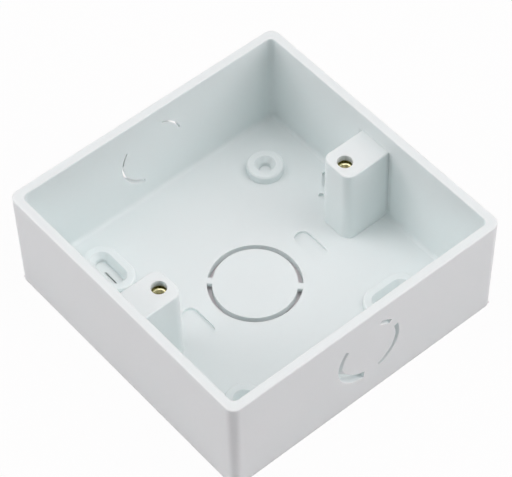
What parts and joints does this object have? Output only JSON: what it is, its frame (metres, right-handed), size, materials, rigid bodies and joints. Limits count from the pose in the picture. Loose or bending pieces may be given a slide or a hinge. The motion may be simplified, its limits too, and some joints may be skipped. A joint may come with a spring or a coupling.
{
  "type": "surface back box",
  "caption": "Shallow square surface-mounting box for a switch or socket plate, open at the top, with knock-out cable entries, wall screw holes and brass-threaded screw bosses.",
  "frame": {"origin": "middle of the flat underside of the base", "axes": "+Z from the base up to the open rim, X through the two screw bosses, the walls with cable entries face +Y and -Y"},
  "size_m": [0.086, 0.086, 0.0325],
  "materials": {
    "white_plastic": "smooth moulded, satin",
    "brass": "turned and threaded, bright"
  },
  "bodies": {
    "root": {"box_body": "white_plastic", "left_brass_insert": "brass", "right_brass_insert": "brass"}
  },
  "joints": []
}
